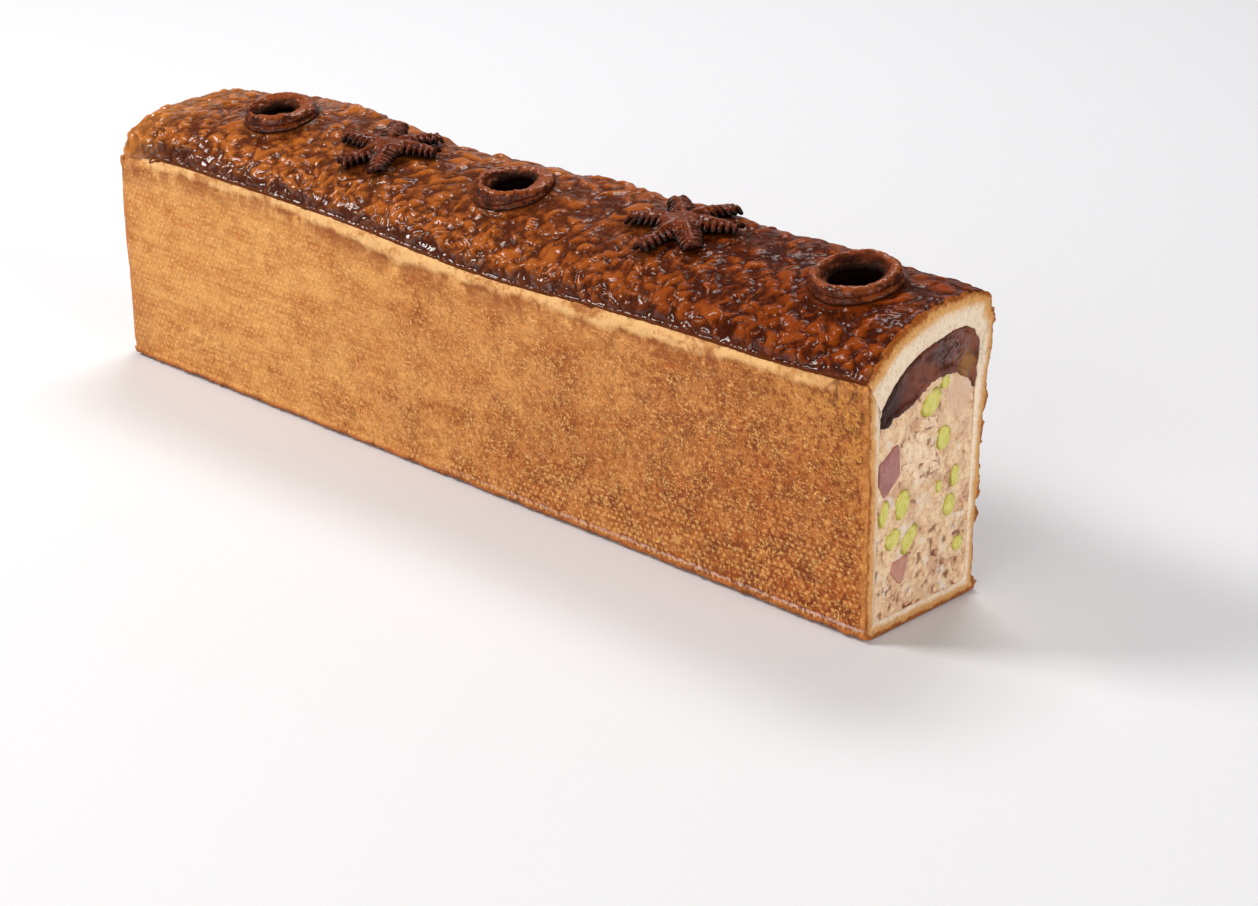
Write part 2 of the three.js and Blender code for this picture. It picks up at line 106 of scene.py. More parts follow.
looking = Vector((
    -math.sin(camera_yaw) * math.cos(camera_pitch),
    math.cos(camera_yaw) * math.cos(camera_pitch),
    -math.sin(camera_pitch),
))
level_right = Vector((math.cos(camera_yaw), math.sin(camera_yaw), 0))
level_up = level_right.cross(looking)
right = math.cos(camera_roll) * level_right + math.sin(camera_roll) * level_up
up = math.cos(camera_roll) * level_up - math.sin(camera_roll) * level_right
bpy.ops.object.camera_add()
camera = bpy.context.object
camera.name = "photo_camera"
camera.data.sensor_width = sensor_width
camera.data.lens = focal_length_in_pixels / photo_width * sensor_width
camera.data.clip_start = 0.01
camera.matrix_world = Matrix((
    (right.x, up.x, -looking.x, camera_place.x),
    (right.y, up.y, -looking.y, camera_place.y),
    (right.z, up.z, -looking.z, camera_place.z),
    (0, 0, 0, 1),
))
bpy.context.scene.camera = camera


# Pastry case: shortcrust pressed into a perforated loaf mould, so its walls carry rows of small dots.
# It is one folded sheet, about 5 mm thick, golden outside and ivory where it is cut. The lid sits on it.
cut_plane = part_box("pastry_case")[1].x * 1000
case_square = 0.001


def pick(piece):
    """Makes a piece the only one that is selected."""
    bpy.ops.object.select_all(action="DESELECT")
    bpy.context.view_layer.objects.active = piece
    piece.select_set(True)


def show_smooth(piece):
    """Shades a piece as one smooth surface."""
    pick(piece)
    bpy.ops.object.shade_smooth()


def shape(piece, kind, **settings):
    """Adds a modifier to a piece and applies it."""
    modifier = piece.modifiers.new(kind, kind)
    for setting, value in settings.items():
        setattr(modifier, setting, value)
    bpy.context.view_layer.objects.active = piece
    bpy.ops.object.modifier_apply(modifier=modifier.name)


def copy_of(node, name):
    """A copy of a solid with its corners merged."""
    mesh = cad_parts[node].data.copy()
    mesh.name = name
    mesh.materials.clear()
    piece = bpy.data.objects.new(name, mesh)
    bpy.context.collection.objects.link(piece)
    pick(piece)
    bpy.ops.object.mode_set(mode="EDIT")
    bpy.ops.mesh.select_all(action="SELECT")
    bpy.ops.mesh.remove_doubles(threshold=1e-5)
    bpy.ops.object.mode_set(mode="OBJECT")
    return piece


def start_from(node, name, square):
    """A copy of a solid as one skin of small squares, ready to be shaped."""
    piece = copy_of(node, name)
    shape(piece, "REMESH", mode="VOXEL", voxel_size=square)
    return piece


def points_of(piece):
    """The places of a piece's points in millimetres, one row for each."""
    places = np.zeros(len(piece.data.vertices) * 3)
    piece.data.vertices.foreach_get("co", places)
    return places.reshape(-1, 3) * 1000


def move_points(piece, places):
    """Puts a piece's points at places given in millimetres."""
    piece.data.vertices.foreach_set("co", (places / 1000).ravel())
    piece.data.update()


def facing(piece):
    """The way that a piece faces at its points, one row for each."""
    ways = np.zeros(len(piece.data.vertices) * 3)
    piece.data.vertices.foreach_get("normal", ways)
    return ways.reshape(-1, 3)


def trim_at_cut(piece):
    """Puts back to the cut plane what stands past it."""
    places = points_of(piece)
    places[:, 0] = np.minimum(places[:, 0], cut_plane)
    move_points(piece, places)


def ease(values, start, end):
    """0 before start, 1 after end, and a smooth change between."""
    share = np.clip((values - start) / (end - start), 0, 1)
    return share * share * (3 - 2 * share)


def weigh(piece, name, weights):
    """A vertex group with a weight for each point."""
    steps = 16
    group = piece.vertex_groups.new(name=name)
    levels = np.round(np.clip(weights, 0, 1) * steps).astype(int)
    for level in range(1, steps + 1):
        group.add(np.flatnonzero(levels == level).tolist(), level / steps, "REPLACE")


def roughen(piece, kind, size, depth, group="", middle=0.5, direction="NORMAL", **settings):
    """Raises and sinks a surface by a procedural texture, with its grain and depth in millimetres."""
    grain = bpy.data.textures.new(piece.name + "_" + kind.lower(), kind)
    grain.noise_scale = size / 1000
    for setting, value in settings.items():
        setattr(grain, setting, value)
    shape(
        piece, "DISPLACE", texture=grain, strength=depth / 1000, mid_level=middle,
        vertex_group=group, texture_coords="LOCAL", direction=direction,
    )


def mark(piece, name, values):
    """Keeps one number for each point on the piece, for its material."""
    attribute = piece.data.attributes.new(name, "FLOAT", "POINT")
    attribute.data.foreach_set("value", np.asarray(values, dtype=np.float32))


def tree_of(nodes, wanted):
    """A search tree over those faces of the solids that are wanted."""
    corners = []
    faces = []
    for node in nodes:
        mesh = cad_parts[node].data
        for face in mesh.polygons:
            if wanted(node, face):
                start = len(corners)
                corners.extend(mesh.vertices[index].co for index in face.vertices)
                faces.append(range(start, len(corners)))
    return BVHTree.FromPolygons(corners, faces)


def distances(piece, tree):
    """How far each point of a piece lies from the faces in a tree, in millimetres."""
    return np.array([tree.find_nearest(point.co)[3] for point in piece.data.vertices]) * 1000


def close_onto(piece, tree, reach, sink):
    """Moves points within a reach of other faces onto them and a little further in, in millimetres."""
    places = points_of(piece)
    for index, point in enumerate(piece.data.vertices):
        spot, way, _, gap = tree.find_nearest(point.co)
        if gap * 1000 < reach:
            places[index] = spot * 1000 - way * sink
    move_points(piece, places)


vault_height = 80
seam_top = 104
underside_height = 3


def is_baked_skin(node, face):
    """True for the faces of the crust that the oven browned, and not for cut or hidden ones."""
    middle = face.center * 1000
    if face.normal.x > 0.7:
        return False
    if face.normal.x < -0.7:
        return True
    if node == "pastry_lid":
        away = Vector((0, middle.y, middle.z - vault_height))
        is_seam = face.normal.z < -0.3 and middle.z < seam_top
        return face.normal.dot(away) > 0 and not is_seam
    away = Vector((0, middle.y, 0))
    is_bottom = face.normal.z < -0.7 and middle.z < underside_height
    is_wall = abs(face.normal.z) < 0.5 and face.normal.dot(away) > 0
    return is_bottom or is_wall


class Tone:
    """A number that changes over a surface. Sums and products of tones add Math nodes."""

    def __init__(self, finish, socket):
        self.finish = finish
        self.socket = socket

    def combine(self, operation, first, second):
        node = self.finish.node("ShaderNodeMath", {"operation": operation}, {0: first, 1: second})
        return Tone(self.finish, node.outputs[0])

    def __add__(self, other):
        return self.combine("ADD", self, other)

    def __radd__(self, other):
        return self.combine("ADD", other, self)

    def __sub__(self, other):
        return self.combine("SUBTRACT", self, other)

    def __rsub__(self, other):
        return self.combine("SUBTRACT", other, self)

    def __mul__(self, other):
        return self.combine("MULTIPLY", self, other)

    def __rmul__(self, other):
        return self.combine("MULTIPLY", other, self)

    def __truediv__(self, other):
        return self.combine("DIVIDE", self, other)

    def __pow__(self, other):
        return self.combine("POWER", self, other)

    def swing(self, size=1):
        """A change to both sides of 0, from a tone between 0 and 1."""
        return (self - 0.5) * size

    def floor(self):
        """The whole number below."""
        return self.combine("FLOOR", self, 0)

    def fold(self, length):
        """Rises from 0 to a length and falls again, over and over."""
        return self.combine("PINGPONG", self, length)

    def larger(self, other):
        """The larger of two tones."""
        return self.combine("MAXIMUM", self, other)

    def step(self, start, end):
        """0 before start, 1 after end, and a smooth change between."""
        node = self.finish.node(
            "ShaderNodeMapRange", {"interpolation_type": "SMOOTHSTEP"},
            {"Value": self, "From Min": start, "From Max": end},
        )
        return Tone(self.finish, node.outputs[0])


def srgb(red, green, blue):
    """A colour as a picture shows it, from 0 to 255, turned into the light that it reflects."""
    shares = [channel / 255 for channel in (red, green, blue)]
    light = [s / 12.92 if s <= 0.04045 else ((s + 0.055) / 1.055) ** 2.4 for s in shares]
    return (*light, 1)


class Finish:
    """A material that is mixed from nodes on the piece's own coordinates."""

    def __init__(self, name, **constants):
        self.material = bpy.data.materials.new(name)
        self.material.use_nodes = True
        self.tree = self.material.node_tree
        self.shader = self.tree.nodes["Principled BSDF"]
        for socket, value in constants.items():
            self.shader.inputs[socket.replace("_", " ")].default_value = value
        self.place = self.node("ShaderNodeTexCoord", {}, {}).outputs["Object"]

    def node(self, kind, settings, sockets):
        """Any node, from its type, its settings and the values or links of its sockets."""
        node = self.tree.nodes.new(kind)
        for setting, value in settings.items():
            setattr(node, setting, value)
        for socket, value in sockets.items():
            self.feed(node.inputs[socket], value)
        return node

    def feed(self, socket, value):
        """Sets a socket to a number or colour, or links it to a tone or another socket."""
        source = value.socket if isinstance(value, Tone) else value
        if isinstance(source, bpy.types.NodeSocket):
            self.tree.links.new(source, socket)
        else:
            socket.default_value = source

    def axes(self):
        """The place along, across and up, in millimetres."""
        split = self.node("ShaderNodeSeparateXYZ", {}, {0: self.place})
        return [Tone(self, socket) * 1000 for socket in split.outputs]

    def attribute(self, name):
        """A number that was kept on the piece."""
        return Tone(self, self.node("ShaderNodeAttribute", {"attribute_name": name}, {}).outputs["Fac"])

    def noise(self, size, detail=2, roughness=0.5, distortion=0, shift=0, stretch=(1, 1, 1)):
        """Smooth noise between 0 and 1 with its swells in millimetres."""
        mapped = self.node(
            "ShaderNodeMapping", {},
            {"Vector": self.place, "Location": (shift, shift, shift), "Scale": stretch},
        )
        node = self.node(
            "ShaderNodeTexNoise", {},
            {
                "Vector": mapped.outputs[0], "Scale": 1000 / size, "Detail": detail,
                "Roughness": roughness, "Distortion": distortion,
            },
        )
        return Tone(self, node.outputs[0])

    def cracks(self, size, waviness):
        """The distance from the borders of uneven cells, with the cells' size in millimetres."""
        wave = self.node(
            "ShaderNodeTexNoise", {}, {"Vector": self.place, "Scale": 2500 / size, "Detail": 3},
        )
        shift = self.node(
            "ShaderNodeVectorMath", {"operation": "MULTIPLY_ADD"},
            {0: wave.outputs["Color"], 1: (waviness / 1000,) * 3, 2: self.place},
        )
        node = self.node(
            "ShaderNodeTexVoronoi", {"feature": "DISTANCE_TO_EDGE"},
            {"Vector": shift.outputs[0], "Scale": 1000 / size},
        )
        return Tone(self, node.outputs["Distance"])

    def chance(self, first, second):
        """A number between 0 and 1 that differs for each pair of whole numbers."""
        pair = self.node("ShaderNodeCombineXYZ", {}, {0: first, 1: second})
        node = self.node(
            "ShaderNodeTexWhiteNoise", {"noise_dimensions": "2D"}, {"Vector": pair.outputs[0]},
        )
        return Tone(self, node.outputs["Value"])

    def crumb(self, depth, cloud, grain, speck):
        """Cut pastry: browned under the skin, then golden, and ivory further in."""
        crumbs = (grain + speck.swing(0.6)).step(0.4, 0.8)
        ivory = self.blend(srgb(246, 226, 200), srgb(230, 198, 160), crumbs)
        edge = depth + cloud.swing(2.4) + grain.swing(2.2)
        golden = self.blend(srgb(224, 168, 104), srgb(198, 132, 70), crumbs)
        brown = self.blend(srgb(156, 84, 38), golden, edge.step(0.4, 1.4))
        return self.blend(brown, ivory, edge.step(1.7, 3.4))

    def laid_bare(self, depth, along, cloud, grain):
        """1 on crumb that the knife laid bare, and 0 on the baked skin."""
        inner = (depth + grain.swing(1.2) + cloud.swing()).step(0.3, 0.9)
        return inner * along.step(cut_plane - 1.6, cut_plane - 0.6)

    def blend(self, first, second, share):
        """A colour between two others."""
        mix = self.node(
            "ShaderNodeMix", {"data_type": "RGBA", "clamp_factor": True}, {0: share, 6: first, 7: second},
        )
        return mix.outputs[2]

    def relief(self, height, depth):
        """Fine relief of a depth in millimetres."""
        sockets = {"Height": height, "Distance": depth / 1000, "Strength": 1.0}
        return self.node("ShaderNodeBump", {}, sockets).outputs[0]

    def use(self, piece, colour, roughness=None, normal=None, coat=None):
        """Links what changes over the surface and puts the finish on a piece."""
        self.feed(self.shader.inputs["Base Color"], colour)
        if roughness is not None:
            self.feed(self.shader.inputs["Roughness"], roughness)
        if normal is not None:
            self.feed(self.shader.inputs["Normal"], normal)
        if coat is not None:
            self.feed(self.shader.inputs["Coat Weight"], coat)
        piece.data.materials.append(self.material)


seam_reach = 0.9
seam_sink = 0.9
strip_width = 6.2
strip_ledge = 0.35
foot_height = 3.0
foot_ledge = 1.3
wall_bake_share = 0.64
baked_skin = tree_of(["pastry_case", "pastry_lid"], is_baked_skin)
lid_outside = tree_of(["pastry_lid"], is_baked_skin)
lid_all_round = tree_of(["pastry_lid"], lambda node, face: True)
case = start_from("pastry_case", "pastry_case_crust", case_square)
close_onto(case, lid_all_round, seam_reach, seam_sink)
places = points_of(case)
under_skin = distances(case, baked_skin)
from_lid = distances(case, lid_outside)
from_cut = cut_plane - places[:, 0]
waver = 1.3 * np.sin(places[:, 0] / 21) + 0.6 * np.sin(places[:, 0] / 8.3 + 2)
waver += 0.4 * np.sin(places[:, 0] / 2.9 + 1)
strip_edge = from_lid + waver + 2.6 * ease(-places[:, 0], 60, 180)
outside = 1 - ease(under_skin, 0.5, 1.1)
standing = ease(places[:, 2], 0.6, 2.2)
weigh(case, "hidden", ease(under_skin, 1.2, 1.6) * ease(from_cut, 2, 3) + (places[:, 2] < 0.4))
weigh(case, "walls", outside * standing * ease(from_cut, 0, 1.5) * ease(from_lid, 0.5, 2))
weigh(case, "relief", outside * standing * ease(from_lid, 0, 2))
in_strip = 1 - ease(strip_edge, strip_width - 0.8, strip_width + 0.4)
weigh(case, "rim", outside * ease(from_lid, 0.2, 1.5) * in_strip)
weigh(case, "foot", outside * ease(places[:, 2], 0.2, 1) * (1 - ease(places[:, 2], 2.6, 4.4)))
off_floor = ease(places[:, 2], 0.4, 2)
weigh(case, "edge", outside * (1 - ease(from_cut, 1, 5)) * off_floor)
weigh(case, "chips", (1 - ease(under_skin, 0.4, 2.2)) * (1 - ease(from_cut, 1, 3)) * off_floor)
weigh(case, "crumb", ease(under_skin, 0.8, 1.6) * (1 - ease(from_cut, 0.3, 0.9)))
mark(case, "under_skin", under_skin)
mark(case, "strip_edge", strip_edge)
shape(case, "SMOOTH", factor=0.5, iterations=25, vertex_group="walls")
shape(case, "DECIMATE", ratio=0.4, vertex_group="hidden")
places = points_of(case)
outwards = facing(case) * (1, 1, 0)
ledge = foot_ledge * (1 - ease(places[:, 2], foot_height - 0.5, foot_height + 0.5))
ledge *= (np.abs(places[:, 1]) > 27) | (places[:, 0] < 0)
move_points(case, places + outwards * ledge[:, None])
roughen(case, "CLOUDS", 26, 1.1, group="relief")
roughen(case, "CLOUDS", 7, 0.5, group="relief", noise_depth=2)
shape(case, "DISPLACE", strength=strip_ledge / 1000, mid_level=0, vertex_group="rim")
roughen(case, "CLOUDS", 14, 1.2, group="rim", middle=0.4)
roughen(case, "CLOUDS", 5, 1.0, group="rim", noise_depth=2, noise_type="HARD_NOISE", middle=0.4)
roughen(case, "CLOUDS", 2.4, 1.6, group="foot", noise_depth=1, middle=0.4)
roughen(case, "CLOUDS", 7, 2.6, group="edge", noise_depth=1)
roughen(case, "CLOUDS", 3.6, 4.2, group="edge", noise_depth=2)
roughen(case, "CLOUDS", 6, -2.4, group="chips", noise_depth=2, middle=0.2, direction="X")
roughen(case, "CLOUDS", 1.6, -0.5, group="crumb", noise_depth=2, middle=0, direction="X")
trim_at_cut(case)
places = points_of(case)
places[:, 2] = np.maximum(places[:, 2], 0)
move_points(case, places)
show_smooth(case)

crust = Finish("baked crust", Specular_IOR_Level=0.18)
along, across, height = crust.axes()
depth = crust.attribute("under_skin")
blotch = crust.noise(34, detail=3, roughness=0.6)
cloud = crust.noise(9, detail=4, roughness=0.65, distortion=0.4)
grain = crust.noise(2.2, detail=3, roughness=0.7)
speck = crust.noise(0.9, detail=2, roughness=0.6)
linen = crust.noise(1.2, detail=1, stretch=(0.4, 0.4, 1.5))
dot_pitch = 2.7
row_pitch = 2.35
wander = crust.noise(8, detail=1, shift=3)
row = (height + 0.9 * wander) / row_pitch
row_number = row.floor()
column = (along + across + 1.4 * wander) / dot_pitch + 0.5 * row_number
column_number = column.floor()
chance = crust.chance(column_number, row_number)
beside = (column - column_number - 0.5) * dot_pitch + grain.swing(1.1)
above = (row - row_number - 0.5) * row_pitch + speck.swing(0.9)
from_dot = (beside * beside + above * above) ** 0.5
dot = 1 - from_dot.step(0.2, 0.65 + 0.5 * chance)
patch = crust.noise(15, detail=6, roughness=0.7, shift=5, stretch=(0.6, 0.6, 1.2))
toast = (along * 0.6 - height * 0.7 + blotch.swing(210) + cloud.swing(100)).step(-130, 150)
mottle = cloud + grain.swing(0.9)
streak = crust.noise(11, detail=4, roughness=0.65, shift=3, stretch=(0.32, 0.32, 1.4))
golden_share = (patch * 0.5 + streak * 0.5 + mottle.swing(0.4)).step(0.38, 0.64)
golden = crust.blend(srgb(218, 157, 88), srgb(186, 113, 53), golden_share)
toasted = crust.blend(srgb(168, 77, 24), srgb(90, 36, 11), mottle.step(0.3, 0.8))
wall_colour = crust.blend(golden, toasted, toast)
threads = (linen + grain.swing(0.6) + speck.swing(0.4)).step(0.5, 0.78)
wall_colour = crust.blend(wall_colour, srgb(230, 176, 106), threads * 0.5)
hollow = 1 - (grain + speck.swing(0.5)).step(0.34, 0.53)
wall_colour = crust.blend(wall_colour, srgb(112, 52, 20), hollow * (0.34 + 0.6 * toast))
bright = (speck + grain.swing(0.5) + cloud.swing(0.3)).step(0.57, 0.74)
wall_colour = crust.blend(wall_colour, srgb(236, 184, 110), bright * (0.4 + 0.5 * toast))
freckle = crust.noise(3, detail=2, roughness=0.6, shift=7)
wall_colour = crust.blend(wall_colour, srgb(214, 138, 66), freckle.step(0.52, 0.68) * toast * 0.5)
wall_colour = crust.blend(wall_colour, srgb(104, 46, 16), (1 - freckle.step(0.32, 0.46)) * toast * 0.5)
far_corner = (-1 * along + blotch.swing(50) - height * 0.2).step(172, 212)
wall_colour = crust.blend(wall_colour, srgb(150, 82, 38), far_corner * 0.55)
dot_zone = (along * 0.013 - height * 0.07 + blotch.swing(2.4) + cloud.swing(1.6) + 0.8).step(-0.3, 1.1)
weave_zone = (along * -0.009 + patch.swing(4) - 0.1).step(-0.2, 1.0)
dots = dot * (dot_zone * 0.55 + weave_zone * 0.42 + 0.05) * chance.step(0.0, 0.6)
wall_colour = crust.blend(wall_colour, srgb(234, 176, 102), dots)
strip_edge = crust.attribute("strip_edge") + grain.swing(3) + cloud.swing(5)
stain = (1 - strip_edge.step(strip_width + 1, strip_width + 11)) * (blotch + cloud).step(0.8, 1.05) * 0.6
wall_colour = crust.blend(wall_colour, srgb(136, 66, 27), stain)
ochre = (along + height * 1.2 + blotch.swing(90) + cloud.swing(60)).step(232, 300)
ochre = ochre * (grain + speck.swing(0.6)).step(0.36, 0.6)
wall_colour = crust.blend(wall_colour, srgb(204, 142, 66), ochre * 0.6)
strip_share = 1 - 0.8 * (patch + mottle.swing(0.5) + (along * along) * 0.000004).step(0.49, 0.73)
near_corner = (along + cloud.swing(26)).step(172, 206)
browner = (patch + mottle.swing(0.6)).step(0.4, 0.72)
strip_colour = crust.blend(srgb(226, 178, 118), srgb(204, 140, 76), browner)
strip_colour = crust.blend(strip_colour, srgb(150, 84, 42), (1 - grain.step(0.28, 0.42)) * 0.7)
strip_colour = crust.blend(strip_colour, srgb(186, 116, 56), near_corner * 0.8)
in_strip = 1 - strip_edge.step(strip_width - 2.5, strip_width + 1.2)
wall_colour = crust.blend(wall_colour, strip_colour, in_strip * strip_share)
# Painted shadow: a dark, broken line just below the raised strip.
shade_under_strip = strip_edge.step(strip_width - 0.4, strip_width + 0.6)
shade_under_strip = shade_under_strip * (1 - strip_edge.step(strip_width + 0.8, strip_width + 2.2))
wall_colour = crust.blend(wall_colour, srgb(134, 70, 32), shade_under_strip * cloud.step(0.45, 0.6) * 0.45)
crack = 1 - crust.cracks(11, 6).step(0.0, 0.09)
crack = crack * near_corner * (1 - strip_edge.step(14, 26)) * cloud.step(0.35, 0.55)
wall_colour = crust.blend(wall_colour, srgb(88, 44, 22), crack * 0.7)
cut_edge = (along + grain.swing(4) + cloud.swing(3)).step(cut_plane - 4.5, cut_plane - 1.5)
edge_colour = crust.blend(srgb(214, 146, 78), srgb(168, 92, 42), mottle.step(0.35, 0.7))
wall_colour = crust.blend(wall_colour, edge_colour, cut_edge * 0.75)
# Painted highlight: a broken mauve-white line just above the flared foot, mostly towards the cut end.
painted_sheen_line = (height - 1.2 * grain).step(2.4, 2.9) * (1 - (height - 1.2 * grain).step(3.2, 4.0))
painted_sheen_spots = (along + cloud.swing(220)).step(-60, 160) * (grain + speck * 0.4).step(0.55, 0.75)
wall_colour = crust.blend(wall_colour, srgb(202, 172, 166), painted_sheen_line * painted_sheen_spots * 0.7)
foot_colour = crust.blend(srgb(190, 112, 54), srgb(128, 66, 32), mottle.step(0.35, 0.75))
wall_colour = crust.blend(foot_colour, wall_colour, (height + grain.swing(1.5)).step(2.2, 3.2))
crumb_colour = crust.crumb(depth * wall_bake_share, cloud, grain, speck)
crust_colour = crust.blend(wall_colour, crumb_colour, crust.laid_bare(depth, along, cloud, grain))
pores = (grain * 0.6 + speck * 0.4 + freckle * 0.8) * (0.6 + 0.8 * toast)
fine = crust.relief(dots * 0.8 + pores + linen * 0.2 - crack * 1.5, 0.45)
crust.use(case, crust_colour, roughness=0.55 + 0.3 * speck, normal=fine)
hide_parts("pastry_case")
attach(case, "root")


# Pastry lid: a thicker sheet laid over the filling and brushed with egg, so it baked to a wrinkled,
# shiny mahogany. Its front slope is the most craggy, and its lower edge is a thin dark lip.
lid_square = 0.0007
lip_width = 0.8
collar_height = 0.3
collar_reach = 5
end_sink = 2.4
lid_bake_share = 0.44
score_slant = 0.6
score_pitch = 18
chimney_nodes = ["chimney_1", "chimney_2", "chimney_3"]
star_nodes = ["pastry_star_1", "pastry_star_2"]
case_outside = tree_of(["pastry_case"], is_baked_skin)
standing_on_lid = tree_of(chimney_nodes + star_nodes, lambda node, face: True)
lid = start_from("pastry_lid", "pastry_lid_crust", lid_square)
places = points_of(lid)
under_skin = distances(lid, lid_outside)
from_case = distances(lid, case_outside)
from_ornaments = distances(lid, standing_on_lid)
from_rings = distances(lid, tree_of(chimney_nodes, lambda node, face: True))
from_cut = cut_plane - places[:, 0]
in_hole = np.zeros(len(places))
for node in chimney_nodes:
    low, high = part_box(node)
    middle = (low + high) * 500
    rim_radius = (high.x - low.x) * 500
    from_axis = np.hypot(places[:, 0] - middle.x, places[:, 1] - middle.y)
    in_hole = np.maximum(in_hole, 1 - ease(from_axis, rim_radius - 3, rim_radius - 1))
outside = 1 - ease(under_skin, 0.5, 1.2)
free = ease(from_ornaments, 0, 2)
front = 1 - ease(places[:, 1], -24, -2)
past_lip = ease(from_case, 0, lip_width * 2)
weigh(lid, "hidden", ease(under_skin, 1.6, 2.2) * ease(from_cut, 2, 3))
weigh(lid, "smooth", outside * ease(from_cut, 0, 2) * ease(from_case, 0.5, 3))
weigh(lid, "swells", outside * (0.35 + 0.65 * free) * ease(from_case, 0, 2))
weigh(lid, "crags", outside * free * front * past_lip)
weigh(lid, "crest", outside * free * (1 - 0.6 * front) * past_lip)
weigh(lid, "edge", outside * (1 - ease(from_cut, 1, 4)))
weigh(lid, "collar", outside * (1 - ease(from_rings, 0, collar_reach)) * (1 - in_hole))
weigh(lid, "chips", (1 - ease(under_skin, 0.4, 3)) * (1 - ease(from_cut, 1, 3)))
weigh(lid, "crumb", ease(under_skin, 0.9, 1.6) * (1 - ease(from_cut, 0.3, 0.9)))
mark(lid, "under_skin", under_skin)
mark(lid, "from_case", from_case)
mark(lid, "from_ornaments", from_ornaments)
mark(lid, "in_hole", in_hole)
places[:, 2] -= end_sink * (1 - ease(from_case, 1, 3)) * ease(-places[:, 0], 176, 186)
move_points(lid, places)
shape(lid, "SMOOTH", factor=0.5, iterations=20, vertex_group="smooth")
shape(lid, "DECIMATE", ratio=0.38, vertex_group="hidden")
roughen(lid, "CLOUDS", 16, 1.6, group="swells", noise_depth=1)
shape(lid, "DISPLACE", strength=collar_height / 1000, mid_level=0, vertex_group="collar")
flat_places = points_of(lid)
flat_ways = facing(lid)
plates = {"noise_basis": "VORONOI_F2_F1", "noise_distortion": "BLENDER_ORIGINAL", "middle": 0.3}
roughen(lid, "DISTORTED_NOISE", 11, 0.8, group="crest", distortion=0.8, **plates)
roughen(lid, "CLOUDS", 6.5, 1.0, group="crest", noise_depth=2)
roughen(lid, "DISTORTED_NOISE", 7, 0.9, group="crags", distortion=0.6, **plates)
roughen(lid, "CLOUDS", 5.5, 1.2, group="crags", noise_depth=2)
roughen(lid, "CLOUDS", 7, 0.7, group="crags", noise_depth=1, noise_type="HARD_NOISE")
roughen(lid, "CLOUDS", 8, 3.6, group="edge", noise_depth=1)
roughen(lid, "CLOUDS", 3.6, 2.4, group="edge", noise_depth=2)
raised = ((points_of(lid) - flat_places) * flat_ways).sum(axis=1)
on_top = flat_ways[:, 2] > 0.2
sideways = flat_places[:, 1]
raised -= np.polyval(np.polyfit(sideways[on_top], raised[on_top], 4), np.clip(sideways, -33, 33))
mark(lid, "raised", raised / raised[on_top].std())
roughen(lid, "CLOUDS", 6, -2.0, group="chips", noise_depth=2, middle=0.2, direction="X")
roughen(lid, "CLOUDS", 1.6, -0.5, group="crumb", noise_depth=2, middle=-0.3, direction="X")
trim_at_cut(lid)
show_smooth(lid)

glaze = Finish("egg washed crust", Specular_IOR_Level=0.02, Coat_Roughness=0.06, Coat_IOR=1.5)
along, across, height = glaze.axes()
depth = glaze.attribute("under_skin")
lip = glaze.attribute("from_case")
raised = glaze.attribute("raised")
blotch = glaze.noise(24, detail=3, roughness=0.6)
cloud = glaze.noise(6, detail=4, roughness=0.65, distortion=0.6)
grain = glaze.noise(2.2, detail=3, roughness=0.7)
speck = glaze.noise(1.0, detail=2, roughness=0.6)
wrinkle = glaze.noise(6, detail=2, distortion=0.8)
# The lumps' colour: low parts are painted darker and raised parts lighter, partly as painted shade and
# light, partly as tone that differs at random.
lump = (raised * 0.7 + wrinkle.swing(1.2) + grain.swing(2.2) + speck.swing(1.2)).step(-2.2, 2.2)
right_end = (along + blotch.swing(120)).step(-90, 170)
pale = glaze.blend(srgb(84, 36, 12), srgb(158, 83, 29), lump.step(0.15, 0.75))
dark = glaze.blend(srgb(60, 18, 2), srgb(130, 53, 7), lump.step(0.15, 0.8))
lid_colour = glaze.blend(pale, dark, right_end)
from_ornaments = glaze.attribute("from_ornaments") + grain.swing(1.5)
amber = (blotch * 0.8 + cloud * 0.6 - along * 0.0016).step(0.3, 1.0) * from_ornaments.step(0.5, 5)
lid_colour = glaze.blend(lid_colour, srgb(172, 95, 33), lump.step(0.45, 1.0) * amber * 0.9)
near_edge = (along + blotch.swing(20)).step(-203, -186)
near_edge = near_edge - near_edge * (lip + along * 0.012 + cloud.swing(7) + blotch.swing(9)).step(3, 9)
lid_colour = glaze.blend(lid_colour, srgb(62, 24, 11), near_edge * 0.8)
far_end = (-1 * along + blotch.swing(40)).step(168, 212)
lid_colour = glaze.blend(lid_colour, srgb(208, 132, 62), far_end * (0.3 + 0.5 * lump))
dry_edge = (along + grain.swing(4) + cloud.swing(5)).step(cut_plane - 3.5, cut_plane - 0.5)
lid_colour = glaze.blend(lid_colour, srgb(178, 106, 46), dry_edge * 0.7)
past_lip = (lip + grain.swing()).step(lip_width - 0.6, lip_width + 0.4)
lid_colour = glaze.blend(srgb(96, 44, 17), lid_colour, past_lip)
crumb_colour = glaze.crumb(depth * lid_bake_share, cloud, grain, speck)
lid_colour = glaze.blend(lid_colour, crumb_colour, glaze.laid_bare(depth, along, cloud, grain))
# Painted shadow: the lid is darker where the chimneys and stars stand on it.
painted_contact_shadow = 1 - from_ornaments.step(0.2, 2.4)
lid_colour = glaze.blend(lid_colour, srgb(38, 13, 6), painted_contact_shadow * 0.75)
